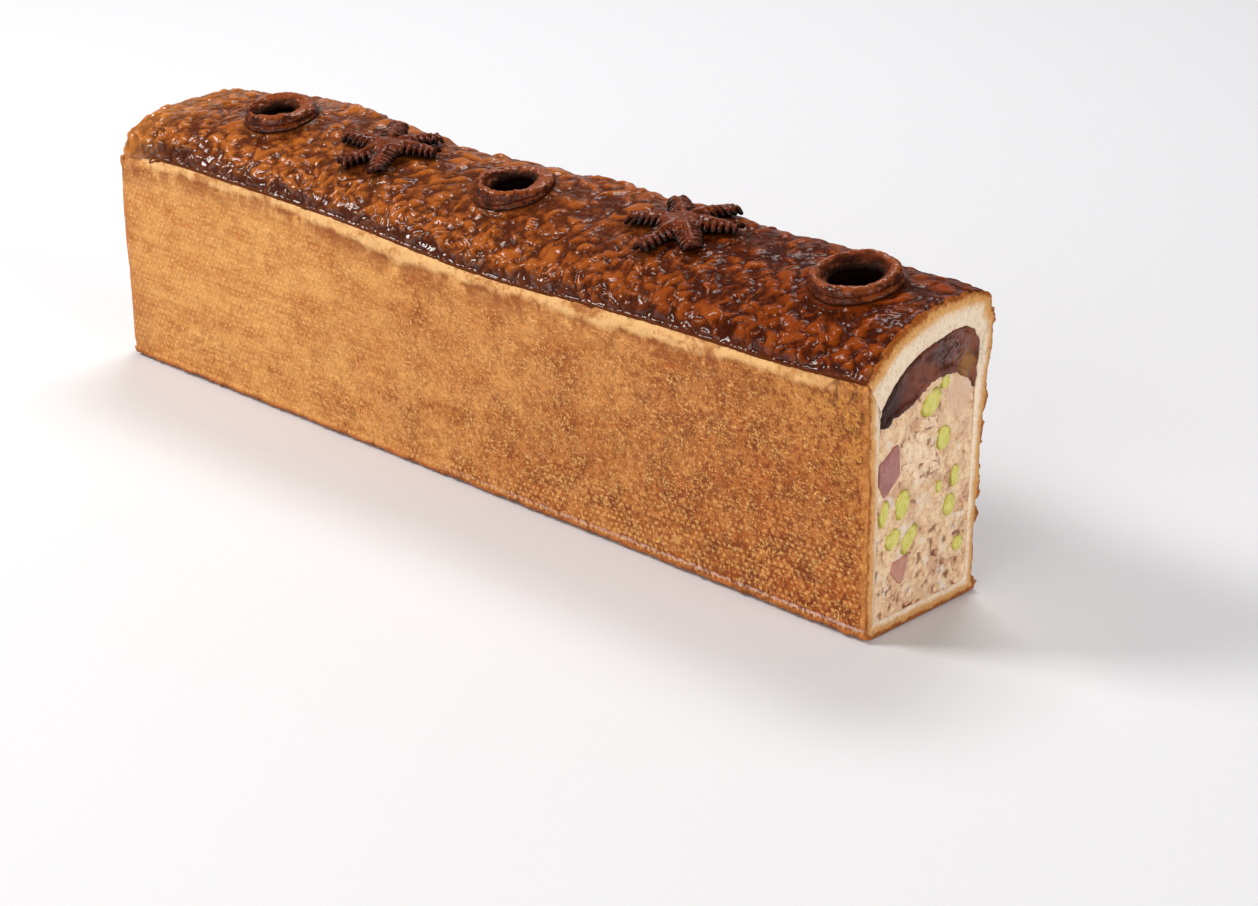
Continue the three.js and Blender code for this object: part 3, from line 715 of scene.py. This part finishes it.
# The walls of the steam holes are painted nearly black: baked crust in place of crumb, and painted shade
# deep in the hole.
in_hole = glaze.attribute("in_hole")
lid_colour = glaze.blend(lid_colour, srgb(20, 8, 4), in_hole)
stripe = along - score_slant * across + cloud.swing(1.2)
by_third_chimney = along.step(84, 100) * (1 - along.step(156, 176))
scored = 1 - stripe.fold(score_pitch / 2).step(0.15, 0.6)
scored = scored * by_third_chimney * across.step(-20, -12) * blotch.step(0.34, 0.48)
lid_colour = glaze.blend(lid_colour, srgb(50, 15, 4), scored * 0.8)
fine = glaze.relief(wrinkle + grain * 1.1 + speck * 0.25 - scored * 2.5, 0.65)
bare = dry_edge.larger(in_hole)
glint = (grain + wrinkle.swing(0.6)).step(0.42, 0.62)
egg = (0.1 + 0.4 * glint) * (1 - 0.5 * right_end) + 0.4 * near_edge
egg = egg * (1 - bare) * lip.step(0.3, 1.5)
glaze.use(lid, lid_colour, roughness=0.4 + 0.2 * grain + 0.3 * bare, normal=fine, coat=egg)
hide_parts("pastry_lid")
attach(lid, "root")


# Chimneys: rings rolled by hand from pastry and stuck round the steam holes with egg. They are uneven,
# with a second roll at the foot, and baked darker than the lid.
ring_square = 0.0005
ring_swell = 0.5
ring_drop = 0.9
wall_share = 0.4
funnel_depth = 2.4
groove_depth = 0.9
groove_height = 2.6
groove_width = 0.8
hole_shifts = {"chimney_1": (-1.5, -1.4, 0), "chimney_2": (-1.1, -1.0, 0), "chimney_3": (0, 0, 0)}
lid_top = tree_of(["pastry_lid"], lambda node, face: face.normal.z > 0.2)


def outward_share(piece, middle):
    """How a piece faces at its points: 1 straight away from an upright axis, and -1 straight to it."""
    sideways = (points_of(piece) - middle) * (1, 1, 0)
    return (facing(piece) * sideways).sum(axis=1) / np.linalg.norm(sideways, axis=1)


for node in chimney_nodes:
    ring = start_from(node, node + "_pastry", ring_square)
    low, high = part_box(node)
    middle = (low + high) * 500
    wall_radius = (high.x - low.x) * 1000 * wall_share
    weigh(ring, "outer", ease(outward_share(ring, middle), -0.3, 0.4))
    shape(ring, "DISPLACE", strength=ring_swell / 1000, mid_level=0, vertex_group="outer")
    shape(ring, "SMOOTH", factor=0.5, iterations=4)
    places = points_of(ring)
    sideways = (places - middle) * (1, 1, 0)
    from_axis = np.linalg.norm(sideways, axis=1)
    above = distances(ring, lid_top)
    groove = groove_depth * np.exp(-(((above - groove_height) / groove_width) ** 2))
    groove *= ease(from_axis, wall_radius, wall_radius + 1)
    groove *= 0.5 + 0.5 * np.sin(2 * np.arctan2(sideways[:, 1], sideways[:, 0]) + middle.x)
    inner = 1 - ease(from_axis, wall_radius * 0.75, wall_radius * 1.25)
    funnel = funnel_depth * inner * (1 - ease(above, 1, 6))
    places = places - sideways * ((groove + funnel) / from_axis)[:, None]
    places[:, 2] -= ring_drop * ease(above, 1, 6)
    move_points(ring, places + inner[:, None] * hole_shifts[node])
    roughen(ring, "CLOUDS", 18, 2.6, noise_depth=1)
    roughen(ring, "CLOUDS", 4, 0.9, noise_depth=2, noise_type="HARD_NOISE", middle=0.35)
    roughen(ring, "CLOUDS", 1.6, 0.35, noise_depth=1)
    mark(ring, "faces_up", facing(ring)[:, 2])
    mark(ring, "inside", 1 - ease(outward_share(ring, middle), -0.75, -0.2))
    mark(ring, "above_lid", distances(ring, lid_top))
    show_smooth(ring)
    rolled = Finish(node + " dark pastry", Specular_IOR_Level=0.05, Coat_Roughness=0.12)
    faces_up = rolled.attribute("faces_up")
    above_lid = rolled.attribute("above_lid")
    cloud = rolled.noise(5, detail=3, roughness=0.6)
    grain = rolled.noise(1.4, detail=3, roughness=0.7)
    browned = rolled.blend(srgb(52, 20, 8), srgb(102, 44, 16), (cloud + grain.swing(0.8)).step(0.35, 0.7))
    # Painted light: the parts of the ring that face up are lighter orange.
    orange = (faces_up + cloud.swing(1.6) + grain.swing(0.6)).step(0.35, 1.0)
    ring_colour = rolled.blend(browned, srgb(142, 68, 24), orange * 0.85)
    # Painted shade: the faces turned into the hole are darker, and nearly black low down near the lid.
    inside = rolled.attribute("inside")
    ring_colour = rolled.blend(ring_colour, srgb(92, 40, 20), inside * 0.6)
    deep = 1 - (above_lid + cloud.swing(2)).step(2.5, 6)
    ring_colour = rolled.blend(ring_colour, srgb(26, 9, 4), inside * deep)
    # Painted shadow: the ring is darker where it meets the lid.
    ring_colour = rolled.blend(srgb(34, 15, 10), ring_colour, above_lid.step(0.1, 1.6))
    fine = rolled.relief(grain + cloud * 0.4, 0.35)
    rolled.use(ring, ring_colour, roughness=0.45 + 0.25 * grain, normal=fine, coat=0.28 * (1 - inside))
    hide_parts(node)
    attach(ring, "root")


# Stars: six-armed shapes cut from a pastry sheet with a comb-edged cutter and laid on the lid. Their
# high, up-facing parts carry painted light, and painted shade turns their flanks almost black at the lid.
star_square = 0.00035
hub_share = 0.36
arm_width = 2.2
arm_height = 3.0
tooth_thick = 1.0
tooth_length = 2.8
tooth_count = 6
tooth_start = 0.33
tooth_step = 0.115
crust_lift = 0.7

# Place, length of an arm and the ways of the arms, in millimetres and degrees
star_spots = {
    "pastry_star_1": (-69.8, -0.1, 22.5, (18, 66, 128, 190, 252, 303)),
    "pastry_star_2": (86.4, 4.8, 24, (15, 73, 138, 196, 268, 321)),
}


def on_lid(x, y, lift):
    """The point that lies a lift above the lid at a place, all in millimetres."""
    spot = lid_top.ray_cast(Vector((x, y, 300)) / 1000, Vector((0, 0, -1)))[0]
    return spot * 1000 + Vector((0, 0, lift + crust_lift))


def add_lump(start, end, width, height, past):
    """A rounded lump of pastry from one point to another and a little past both, in millimetres."""
    way = end - start
    bpy.ops.mesh.primitive_uv_sphere_add(
        segments=16, ring_count=10, radius=0.001, location=(start + end) / 2000,
        rotation=way.to_track_quat("Z", "Y").to_euler(), scale=(width, height, way.length / 2 + past),
    )
    return bpy.context.object


def on_arm(centre, length, way, reach, side, lift):
    """The point at a share of an arm's length, to one side of its middle and a lift above the lid."""
    along_arm = Vector((math.cos(math.radians(way)), math.sin(math.radians(way))))
    aside = Vector((-along_arm.y, along_arm.x))
    spot = centre + along_arm * reach * length + aside * side
    return on_lid(spot.x, spot.y, lift)


def add_arm(centre, length, way):
    """The lumps of one arm: two for its body, one for its ridge and one for each tooth."""
    at = functools.partial(on_arm, centre, length, way)
    lumps = [
        add_lump(at(0.1, 0, 2.2), at(0.62, 0, 2.0), arm_width, arm_height, 1.5),
        add_lump(at(0.5, 0, 1.9), at(0.9, 0, 1.6), arm_width * 0.85, arm_height * 0.9, 1.2),
        add_lump(at(0.2, 0, 3.9), at(0.86, 0, 3.2), 1.1, 1.1, 0.8),
    ]
    for number in range(tooth_count):
        reach = tooth_start + tooth_step * number
        for side in (-1, 1):
            root = at(reach, side * 1.1, 3.0)
            tip = at(reach + 0.03, side * (arm_width + tooth_length - 0.3 * number), 1.2)
            lumps.append(add_lump(root, tip, tooth_thick, tooth_thick * 1.3, 0.9))
    return lumps


for node, (star_x, star_y, arm_length, ways) in star_spots.items():
    hub_radius = arm_length * hub_share
    hub_ends = [on_lid(star_x + side * hub_radius, star_y, 1.4) for side in (-1, 1)]
    lumps = [add_lump(*hub_ends, hub_radius, 3.2, 0.5)]
    for way in ways:
        lumps += add_arm(Vector((star_x, star_y)), arm_length, way)
    pick(lumps[0])
    for lump in lumps:
        lump.select_set(True)
    bpy.ops.object.join()
    star = bpy.context.object
    star.name = node + "_pastry"
    bpy.ops.object.transform_apply(location=True, rotation=True, scale=True)
    shape(star, "REMESH", mode="VOXEL", voxel_size=star_square)
    shape(star, "SMOOTH", factor=0.5, iterations=2)
    roughen(star, "CLOUDS", 7, 1.2, noise_depth=1)
    roughen(star, "CLOUDS", 2.4, 0.5, noise_depth=1)
    mark(star, "faces_up", facing(star)[:, 2])
    mark(star, "above_lid", distances(star, lid_top))
    show_smooth(star)
    combed = Finish(node + " dark pastry", Specular_IOR_Level=0.04, Coat_Roughness=0.08, Coat_Weight=0.22)
    faces_up = combed.attribute("faces_up")
    above_lid = combed.attribute("above_lid")
    cloud = combed.noise(4, detail=3, roughness=0.6)
    grain = combed.noise(1.2, detail=3, roughness=0.7)
    # Painted light: the high parts of the star that face up are lighter.
    painted_top_light = (faces_up + cloud.swing(0.8)).step(0.2, 1.0) * above_lid.step(1.6, 4.2)
    star_colour = combed.blend(srgb(54, 18, 6), srgb(104, 44, 16), painted_top_light)
    orange = (cloud + grain.swing()).step(0.5, 0.8)
    star_colour = combed.blend(star_colour, srgb(140, 58, 14), orange * 0.6)
    # Painted shade: the flanks turn nearly black where they meet the lid.
    star_colour = combed.blend(srgb(14, 5, 3), star_colour, (above_lid + cloud.swing()).step(1.4, 4.8))
    fine = combed.relief(grain + cloud * 0.4, 0.3)
    combed.use(star, star_colour, roughness=0.36 + 0.25 * grain, normal=fine)
    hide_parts(node)
    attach(star, "root")


# Forcemeat: minced meat set round the garnish, pale and a little pink, with white fat, brown specks and
# small holes where it was cut. It fills the case from end to end.
slab_depth = 15
forcemeat_square = 0.0005
filling_swell = 0.6
smooth_place = (16, 80)
smooth_half = (8, 9)


def keep_side(piece, place, front):
    """Cuts a piece across at a place in millimetres and keeps the part before or behind it, closed."""
    pick(piece)
    bpy.ops.object.mode_set(mode="EDIT")
    bpy.ops.mesh.select_all(action="SELECT")
    bpy.ops.mesh.bisect(
        plane_co=(place / 1000, 0, 0), plane_no=(1, 0, 0), use_fill=True,
        clear_inner=front, clear_outer=not front,
    )
    bpy.ops.object.mode_set(mode="OBJECT")


def start_at_cut(node, name, square, swell):
    """The part of a filling next to the cut as one skin of small squares, swollen to meet the crust."""
    slab = copy_of(node, name)
    keep_side(slab, cut_plane - slab_depth, True)
    shape(slab, "REMESH", mode="VOXEL", voxel_size=square)
    shape(slab, "DISPLACE", strength=swell / 1000, mid_level=0)
    trim_at_cut(slab)
    from_cut = cut_plane - points_of(slab)[:, 0]
    weigh(slab, "behind", ease(from_cut, 2, 3))
    shape(slab, "DECIMATE", ratio=0.5, vertex_group="behind")
    return slab


def add_behind(slab, node):
    """Joins the rest of a filling to the part next to the cut."""
    rest = copy_of(node, node + "_rest")
    keep_side(rest, cut_plane - slab_depth, False)
    pick(slab)
    rest.select_set(True)
    bpy.ops.object.join()
    show_smooth(slab)


def across_oval(places, middle, half):
    """How far points lie from the middle of an oval across the loaf, 1 on its edge."""
    return np.hypot((places[:, 1] - middle[0]) / half[0], (places[:, 2] - middle[1]) / half[1])


meat = start_at_cut("forcemeat", "forcemeat_filling", forcemeat_square, filling_swell)
places = points_of(meat)
at_face = 1 - ease(cut_plane - places[:, 0], 0.4, 1.2)
smooth_part = 1 - ease(across_oval(places, smooth_place, smooth_half), 0.7, 1.1)
rough_part = at_face * (1 - 0.85 * smooth_part)
loose_part = rough_part * (0.35 + 0.65 * (1 - ease(places[:, 2], 30, 44)))
weigh(meat, "face", at_face)
weigh(meat, "rough", rough_part)
weigh(meat, "loose", loose_part)
roughen(meat, "CLOUDS", 14, -0.8, group="face", middle=0, direction="X")
flat_places = points_of(meat)
grained = {"noise_type": "HARD_NOISE", "middle": 0, "direction": "X"}
roughen(meat, "CLOUDS", 3, -0.6, group="rough", noise_depth=2, **grained)
roughen(meat, "CLOUDS", 5, -0.9, group="loose", noise_depth=2, **grained)
pitted = {"contrast": 5, "intensity": 0.4, "use_clamp": True, "middle": 0, "direction": "X"}
roughen(meat, "CLOUDS", 3.4, -1.1, group="loose", noise_depth=1, **pitted)
mark(meat, "sunk", flat_places[:, 0] - points_of(meat)[:, 0])
mark(meat, "smooth_part", smooth_part)
add_behind(meat, "forcemeat")

mince = Finish("forcemeat", Specular_IOR_Level=0.3)
sunk = mince.attribute("sunk")
blotch = mince.noise(11, detail=3, roughness=0.6)
cloud = mince.noise(4.5, detail=4, roughness=0.65, distortion=0.5)
grain = mince.noise(1.6, detail=3, roughness=0.7)
speck = mince.noise(0.7, detail=2, roughness=0.6)
minced = (cloud + grain.swing(0.8)).step(0.36, 0.66)
meat_colour = mince.blend(srgb(248, 217, 175), srgb(228, 183, 142), minced)
meat_colour = mince.blend(meat_colour, srgb(206, 151, 121), blotch.step(0.48, 0.68) * 0.6)
fat = mince.noise(8, detail=2, shift=2) + grain.swing(0.3)
meat_colour = mince.blend(meat_colour, srgb(242, 226, 210), fat.step(0.57, 0.67) * 0.8)
browned = (grain + cloud.swing(0.8)).step(0.6, 0.78)
meat_colour = mince.blend(meat_colour, srgb(182, 110, 70), browned * 0.65)
crevice = (1 - mince.cracks(7, 4).step(0.0, 0.09)) * (cloud + blotch.swing(0.9)).step(0.58, 0.74)
meat_colour = mince.blend(meat_colour, srgb(134, 72, 46), crevice * 0.7)
meat_colour = mince.blend(meat_colour, srgb(226, 186, 156), mince.attribute("smooth_part") * 0.7)
# Painted shade: darker in the small pits that the knife left.
painted_pit_shade = (sunk + speck.swing(0.6)).step(1.0, 1.6)
meat_colour = mince.blend(meat_colour, srgb(116, 58, 35), painted_pit_shade * 0.72)
fine = mince.relief(grain + speck * 0.6 - crevice * 1.2, 0.4)
mince.use(meat, meat_colour, roughness=0.42 + 0.25 * speck, normal=fine)
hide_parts("forcemeat")
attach(meat, "root")


# Jelly: stock that was poured in through the chimneys and set in the gap under the lid. It is dark brown,
# wet and glassy, amber where it is thin, and a little torn by the knife.
jelly_square = 0.0005
torn_place = (12, 98)
torn_half = (12, 7)
amber_place = (19, 90)
amber_radius = 6
jelly = start_at_cut("jelly", "jelly_filling", jelly_square, filling_swell)
places = points_of(jelly)
at_face = 1 - ease(cut_plane - places[:, 0], 0.4, 1.2)
torn = 1 - ease(across_oval(places, torn_place, torn_half), 0.6, 1.1)
jelly_sides = tree_of(["jelly"], lambda node, face: abs(face.normal.x) < 0.7)
near_side = 1 - ease(distances(jelly, jelly_sides), 0.8, 2.2)
weigh(jelly, "sides", near_side * at_face)
weigh(jelly, "face", at_face * (1 - near_side))
weigh(jelly, "torn", at_face * torn)
mark(jelly, "torn_part", at_face * torn)
roughen(jelly, "CLOUDS", 9, -0.8, group="face", middle=0, direction="X")
roughen(jelly, "CLOUDS", 6, 3.6, group="sides", noise_depth=2)
roughen(jelly, "CLOUDS", 2.2, -1.4, group="torn", noise_depth=1, **grained)
trim_at_cut(jelly)
add_behind(jelly, "jelly")

aspic = Finish("brown jelly", Specular_IOR_Level=0.1, Coat_Roughness=0.05)
along, across, height = aspic.axes()
blotch = aspic.noise(12, detail=2, roughness=0.5)
cloud = aspic.noise(4, detail=3, roughness=0.6, distortion=0.8)
speck = aspic.noise(0.9, detail=2, roughness=0.6)
darker = (blotch + cloud.swing(0.6)).step(0.35, 0.65)
jelly_colour = aspic.blend(srgb(126, 68, 48), srgb(78, 34, 22), darker)
jelly_colour = aspic.blend(jelly_colour, srgb(50, 19, 12), 1 - (across + cloud.swing(8)).step(-22, -8))
beside = (across - amber_place[0]) / amber_radius
above = (height - amber_place[1]) / amber_radius
from_amber = (beside * beside + above * above) ** 0.5 + cloud.swing()
jelly_colour = aspic.blend(srgb(150, 98, 46), jelly_colour, from_amber.step(0.3, 1.1))
torn = aspic.attribute("torn_part")
fine = aspic.relief(cloud + speck * (0.3 + torn), 0.4)
aspic.use(jelly, jelly_colour, roughness=0.12 + 0.2 * cloud, normal=fine, coat=0.15 + 0.6 * torn)
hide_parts("jelly")
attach(jelly, "root")


# Pistachios: whole kernels mixed into the forcemeat and sliced by the knife. They are yellow-green,
# paler in the middle, with a darker green skin.
garnish_square = 0.0003


def start_garnish(node, name, grow, wobble, rounding):
    """A piece in the forcemeat, swollen or shrunk by a given amount, with an uneven outline and a flush
    cut.
    """
    piece = start_from(node, name, garnish_square)
    shape(piece, "SMOOTH", factor=0.5, iterations=rounding)
    shape(piece, "DISPLACE", strength=grow / 1000, mid_level=0)
    roughen(piece, "CLOUDS", 4, wobble, noise_depth=1)
    places = points_of(piece)
    low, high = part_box(node)
    middle = (low + high) * 500
    half = (high - low) * 500
    mark(piece, "outwards", across_oval(places, middle.yz, half.yz))
    trim_at_cut(piece)
    pick(piece)
    bpy.ops.object.shade_smooth_by_angle(angle=math.radians(50))
    return piece


kernel_count = 11
for number in range(1, kernel_count + 1):
    node = f"pistachio_{number:02d}"
    kernel = start_garnish(node, node + "_kernel", grow=-0.1, wobble=1.2, rounding=2)
    places = points_of(kernel)
    weigh(kernel, "face", 1 - ease(cut_plane - places[:, 0], 0.05, 0.3))
    roughen(kernel, "CLOUDS", 2.5, -0.35, group="face", middle=0, direction="X")
    green = Finish(node + " green", Specular_IOR_Level=0.35)
    outwards = green.attribute("outwards")
    cloud = green.noise(2.6, detail=3, roughness=0.6)
    speck = green.noise(0.6, detail=2, roughness=0.6)
    mottled = (cloud + speck.swing(0.5)).step(0.4, 0.65)
    flesh = green.blend(srgb(224, 214, 120), srgb(208, 198, 88), mottled)
    skin = (outwards + cloud.swing(0.4)).step(0.75, 1.15)
    kernel_colour = green.blend(flesh, srgb(164, 156, 46), skin)
    fine = green.relief(cloud + speck * 0.5, 0.15)
    green.use(kernel, kernel_colour, roughness=0.38 + 0.2 * speck, normal=fine)
    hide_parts(node)
    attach(kernel, "root")


# Pink meat: dice of cured meat, dense and even, with straight knife cuts. One shows at the front wall,
# and a smaller, paler one low in the forcemeat.
for node in ["pink_meat_1", "pink_meat_2"]:
    dice = start_garnish(node, node + "_dice", grow=0.55, wobble=0.6, rounding=3)
    cured = Finish(node + " cured", Specular_IOR_Level=0.4)
    height = cured.axes()[2]
    cloud = cured.noise(3.5, detail=3, roughness=0.6)
    speck = cured.noise(0.7, detail=2, roughness=0.6)
    mottled = (cloud + speck.swing(0.4)).step(0.4, 0.65)
    deep = cured.blend(srgb(178, 120, 112), srgb(160, 104, 100), mottled)
    pale = cured.blend(srgb(204, 146, 128), srgb(190, 130, 114), cloud.step(0.4, 0.65))
    fine = cured.relief(cloud + speck * 0.5, 0.12)
    dice_colour = cured.blend(pale, deep, height.step(30, 45))
    cured.use(dice, dice_colour, roughness=0.36 + 0.2 * speck, normal=fine)
    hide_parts(node)
    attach(dice, "root")


# Poultry: larger pieces of white meat set in the forcemeat. They are cream, and they crumble at the cut,
# with cracks round and through them.
for node in ["poultry_chunk_1", "poultry_chunk_2"]:
    chunk = start_garnish(node, node + "_meat", grow=0.5, wobble=1.6, rounding=3)
    places = points_of(chunk)
    weigh(chunk, "face", 1 - ease(cut_plane - places[:, 0], 0.1, 0.5))
    roughen(chunk, "CLOUDS", 3, -0.7, group="face", noise_depth=2, **grained)
    roughen(chunk, "CLOUDS", 6, -1.0, group="face", noise_depth=2, **grained)
    roughen(chunk, "CLOUDS", 4, -1.0, group="face", noise_depth=1, **pitted)
    mark(chunk, "sunk", cut_plane - points_of(chunk)[:, 0])
    white = Finish(node + " white meat", Specular_IOR_Level=0.3)
    sunk = white.attribute("sunk")
    cloud = white.noise(3, detail=3, roughness=0.6)
    grain = white.noise(1.0, detail=3, roughness=0.7)
    mottled = (cloud + grain.swing(0.7)).step(0.38, 0.7)
    chunk_colour = white.blend(srgb(250, 222, 190), srgb(236, 198, 160), mottled)
    # Painted shade: darker in the pits where the meat crumbled.
    painted_pit_shade = (sunk + grain.swing(0.4)).step(1.3, 1.9)
    chunk_colour = white.blend(chunk_colour, srgb(124, 64, 38), painted_pit_shade * 0.8)
    outwards = white.attribute("outwards")
    crevice = (1 - white.cracks(8, 4).step(0.0, 0.08)) * (cloud + (outwards - 0.6) * 0.3).step(0.5, 0.66)
    chunk_colour = white.blend(chunk_colour, srgb(132, 68, 38), crevice * 0.75)
    fine = white.relief(grain + cloud * 0.4 - crevice, 0.35)
    white.use(chunk, chunk_colour, roughness=0.5 + 0.2 * grain, normal=fine)
    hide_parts(node)
    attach(chunk, "root")
